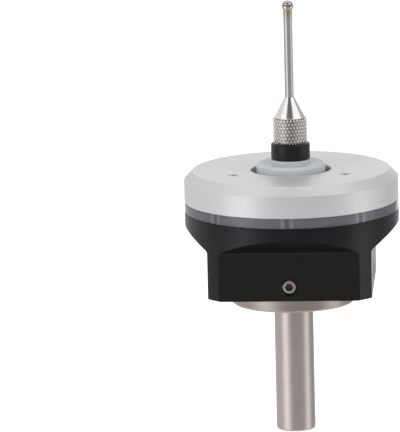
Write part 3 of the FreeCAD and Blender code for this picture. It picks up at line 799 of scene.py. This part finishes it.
ALUMINIUM = satin_aluminium()
ANODISED = black_anodised()
STEEL = brushed_steel()
ACRYLIC = smoky_acrylic()
FROSTED = frosted_wall()
NYLON = nylon()
BLACK = matt_black()
KNURL = knurled_steel()
STEM = ground_steel()
CHROME = polished_ball()
SCREW = bright_screw()
SOCKET = plain_metal("socket_metal", (0.50, 0.50, 0.51), (0.62, 0.62, 0.63), 0.3)
BRASS = plain_metal("brass", (0.62, 0.44, 0.20), (0.72, 0.53, 0.27), 0.3)
SPRING = plain_metal("spring_wire", (0.42, 0.41, 0.40), (0.55, 0.54, 0.53), 0.3)
CONTACT = plain_metal("contact_gold", (0.66, 0.50, 0.25), (0.78, 0.62, 0.34), 0.25)
BALL_STEEL = plain_metal("pivot_steel", (0.60, 0.60, 0.61), (0.70, 0.70, 0.71), 0.15)
RESIN = plain_plastic("lamp_resin", (0.62, 0.63, 0.62), (0.75, 0.76, 0.74), 0.3)
TONGUE = plain_plastic("socket_plastic", (0.010, 0.010, 0.011), (0.018, 0.018, 0.019), 0.45)
# painted shade for the inside of the set screws' hexagon recesses
RECESS_SHADE = plain_metal("recess_shade_steel", (0.09, 0.075, 0.07), (0.20, 0.165, 0.15), 0.4)
BOARD = plain_plastic("board_mask", (0.010, 0.050, 0.020), (0.016, 0.070, 0.030), 0.35)

DRESS = {
    "cover": (ALUMINIUM, "satin_aluminium"), "ring": (ACRYLIC, "smoky_acrylic"),
    "lamps": (RESIN, "lamp_resin"), "housing": (ANODISED, "black_anodised"),
    "set_screws": (SCREW, "screw_steel"), "cover_screws": (SCREW, "screw_steel"),
    "shank": (STEEL, "stainless"), "hub": (NYLON, "nylon"), "collar": (BLACK, "black_anodised"),
    "grip": (KNURL, "stylus_steel"), "stem": (STEM, "stylus_steel"),
    "ball": (CHROME, "ball_steel"),
}
for key, (material, slot) in DRESS.items():
    piece = PIECES[key][0]
    piece.data.materials.clear()
    piece.data.materials.append(material)


def frost_inner_wall(ring):
    """Gives the light ring's inner wall its own frosted surface."""
    ring.data.materials.append(FROSTED)
    for face in ring.data.polygons:
        if Vector(face.center[:2]).length < (RING_R - RING_WALL + 0.1) * MM:
            face.material_index = 1


def darken_recesses(screws):
    """Gives the set screws' hexagon recesses a darker surface than their faces: painted shade
    inside the recesses.
    """
    screws.data.materials.append(RECESS_SHADE)
    for face in screws.data.polygons:
        aside, reach = sorted((abs(face.center.x) / MM, abs(face.center.y) / MM))
        off_axis = math.hypot(aside, face.center.z / MM - SCREW_Z)
        if reach < SCREW_HEAD - 0.05 and off_axis < 1.0:
            face.material_index = 1


frost_inner_wall(PIECES["ring"][0])
darken_recesses(PIECES["set_screws"][0])

CARRIED = {
    "socket_shell": SOCKET, "socket_tongue": TONGUE, "socket_board": BOARD,
    "circuit_board": BOARD, "pillars": BRASS, "seat_ring": BRASS, "return_spring": SPRING,
    "spring_cup": BALL_STEEL, "pivot_ball": BALL_STEEL, "hub_insert": BRASS,
    "contact_pin_1": CONTACT, "contact_pin_2": CONTACT, "contact_pin_3": CONTACT,
    "contact_blade_1": CONTACT, "contact_blade_2": CONTACT, "contact_blade_3": CONTACT,
}
for node, material in CARRIED.items():
    for slot in NODES[node].material_slots:
        slot.material = material


# ---------------------------------------------------------------- studio

TARGET = Vector((0, 0, 17.6 * MM))
CAMERA_AZIMUTH = 2.95                  # degrees
CAMERA_ELEVATION = 11.21
CAMERA_ROLL = -1.20
CAMERA_PAN = 1.117
CAMERA_DISTANCE = 0.966                # metres
CARD_DISTANCE = 1.15
PANEL_DISTANCE = 0.9
WORLD_FILL = 0.6                       # what lights the object from all round
FLOOR_LIFT = 0.6                       # brings the paper to white where it is seen


def direction(azimuth, elevation):
    """From the object towards a place beside it; azimuth is counted from the camera's."""
    a = math.radians(azimuth + CAMERA_AZIMUTH)
    e = math.radians(elevation)
    return Vector((math.sin(a) * math.cos(e), -math.cos(a) * math.cos(e), math.sin(e)))


def make_camera():
    data = bpy.data.cameras.new("camera")
    camera = bpy.data.objects.new("camera", data)
    bpy.context.scene.collection.objects.link(camera)
    back = direction(0, CAMERA_ELEVATION)
    camera.location = TARGET + back * CAMERA_DISTANCE
    look = (-back).to_track_quat("-Z", "Y").to_matrix()
    roll = Matrix.Rotation(math.radians(CAMERA_ROLL), 3, "Z")
    pan = Matrix.Rotation(math.radians(CAMERA_PAN), 3, "Y")
    camera.rotation_euler = (look @ roll @ pan).to_euler()
    data.lens = 392.6
    data.sensor_width = 36
    data.clip_start = 0.01
    data.clip_end = 20
    bpy.context.scene.camera = camera


def background_rays(tree):
    """1 for the rays that see the background: the camera's, and those in metal and glass."""
    path = tree.nodes.new("ShaderNodeLightPath")
    total = path.outputs["Is Camera Ray"]
    for name in ("Is Glossy Ray", "Is Transmission Ray"):
        either = tree.nodes.new("ShaderNodeMath")
        either.operation = "MAXIMUM"
        tree.links.new(total, either.inputs[0])
        tree.links.new(path.outputs[name], either.inputs[1])
        total = either.outputs[0]
    return total


def white_sky(tree, strength):
    sky = tree.nodes.new("ShaderNodeBackground")
    sky.inputs[0].default_value = (1, 1, 1, 1)
    sky.inputs[1].default_value = strength
    return sky.outputs[0]


def make_world():
    """White where it is seen, and an even soft light on the object."""
    world = bpy.data.worlds.new("studio")
    bpy.context.scene.world = world
    world.use_nodes = True
    tree = world.node_tree
    tree.nodes.clear()
    mix = tree.nodes.new("ShaderNodeMixShader")
    out = tree.nodes.new("ShaderNodeOutputWorld")
    tree.links.new(background_rays(tree), mix.inputs[0])
    tree.links.new(white_sky(tree, WORLD_FILL), mix.inputs[1])
    tree.links.new(white_sky(tree, 1.0), mix.inputs[2])
    tree.links.new(mix.outputs[0], out.inputs[0])


def emission(name, strength):
    """A plain white glow."""
    material = bpy.data.materials.new(name)
    material.use_nodes = True
    nodes = material.node_tree.nodes
    nodes.clear()
    glow = nodes.new("ShaderNodeEmission")
    glow.inputs[0].default_value = (1, 1, 1, 1)
    glow.inputs[1].default_value = strength
    out = nodes.new("ShaderNodeOutputMaterial")
    material.node_tree.links.new(glow.outputs[0], out.inputs[0])
    return material


def make_card(name, azimuths, elevations, strength, distance=CARD_DISTANCE):
    """A curved grey card that only the polished surfaces see."""
    rises = 12
    turns = 24
    shape = bmesh.new()
    rows = []
    for step in range(rises + 1):
        elevation = elevations[0] + (elevations[1] - elevations[0]) * step / rises
        row = []
        for turn in range(turns + 1):
            azimuth = azimuths[0] + (azimuths[1] - azimuths[0]) * turn / turns
            row.append(shape.verts.new(TARGET + direction(azimuth, elevation) * distance))
        rows.append(row)
    for near, far in zip(rows, rows[1:]):
        for turn in range(turns):
            shape.faces.new([near[turn], near[turn + 1], far[turn + 1], far[turn]])
    card = finished(name, shape)
    card.data.materials.append(emission(name, strength))
    card.visible_camera = False
    card.visible_diffuse = False
    card.visible_transmission = False
    card.visible_shadow = False


def floor_paper():
    """Pale paper that keeps the object's shadow and looks white around it."""
    material = bpy.data.materials.new("floor_paper")
    material.use_nodes = True
    tree = material.node_tree
    tree.nodes.clear()
    paper = tree.nodes.new("ShaderNodeBsdfDiffuse")
    paper.inputs[0].default_value = (0.8, 0.8, 0.8, 1)
    lift = tree.nodes.new("ShaderNodeMath")
    lift.operation = "MULTIPLY"
    tree.links.new(background_rays(tree), lift.inputs[0])
    lift.inputs[1].default_value = FLOOR_LIFT
    glow = tree.nodes.new("ShaderNodeEmission")
    tree.links.new(lift.outputs[0], glow.inputs[1])
    both = tree.nodes.new("ShaderNodeAddShader")
    out = tree.nodes.new("ShaderNodeOutputMaterial")
    tree.links.new(paper.outputs[0], both.inputs[0])
    tree.links.new(glow.outputs[0], both.inputs[1])
    tree.links.new(both.outputs[0], out.inputs[0])
    return material


def make_floor():
    half = 3.0
    z = (SHANK_LOW - 0.03) * MM
    shape = bmesh.new()
    shape.faces.new([shape.verts.new((x * half, y * half, z))
                     for x, y in ((-1, -1), (1, -1), (1, 1), (-1, 1))])
    floor = finished("floor", shape)
    floor.data.materials.append(floor_paper())
    floor.visible_glossy = False


def make_panel(name, azimuth, elevation, size, radiance, mirrored=True):
    """A soft rectangular lamp facing the object, which metal mirrors or doesn't."""
    data = bpy.data.lights.new(name, "AREA")
    data.shape = "RECTANGLE"
    data.size, data.size_y = size
    data.energy = radiance * math.pi * size[0] * size[1]
    lamp = bpy.data.objects.new(name, data)
    bpy.context.scene.collection.objects.link(lamp)
    towards = direction(azimuth, elevation)
    lamp.location = TARGET + towards * PANEL_DISTANCE
    lamp.rotation_euler = towards.to_track_quat("Z", "Y").to_euler()
    lamp.visible_glossy = mirrored


make_camera()
make_world()
make_floor()
make_card("card_front", (-28, 62), (-50, 34), 0.50)
make_card("card_under", (-90, 90), (-88, -50), 0.7)
make_card("card_left", (-165, -80), (-50, 60), 0.7)
make_card("card_right", (100, 152), (-50, 60), 0.45)
make_card("card_band", (-105, 105), (0, 22), 0.08, 1.1)
make_card("card_slot", (-34, 34), (44, 84), 0.02)
make_panel("panel_left", -54, -8, (0.4, 0.7), 0.85)
make_panel("panel_right", 78, -8, (0.3, 0.7), 0.52)
make_panel("panel_top", 0, 84, (0.6, 0.6), 0.45, mirrored=False)
make_panel("lamp_left", -48, 24, (0.6, 0.6), 3.8, mirrored=False)
make_panel("lamp_right", 62, 20, (0.5, 0.5), 4.0, mirrored=False)

scene = bpy.context.scene
scene.view_settings.view_transform = "Standard"
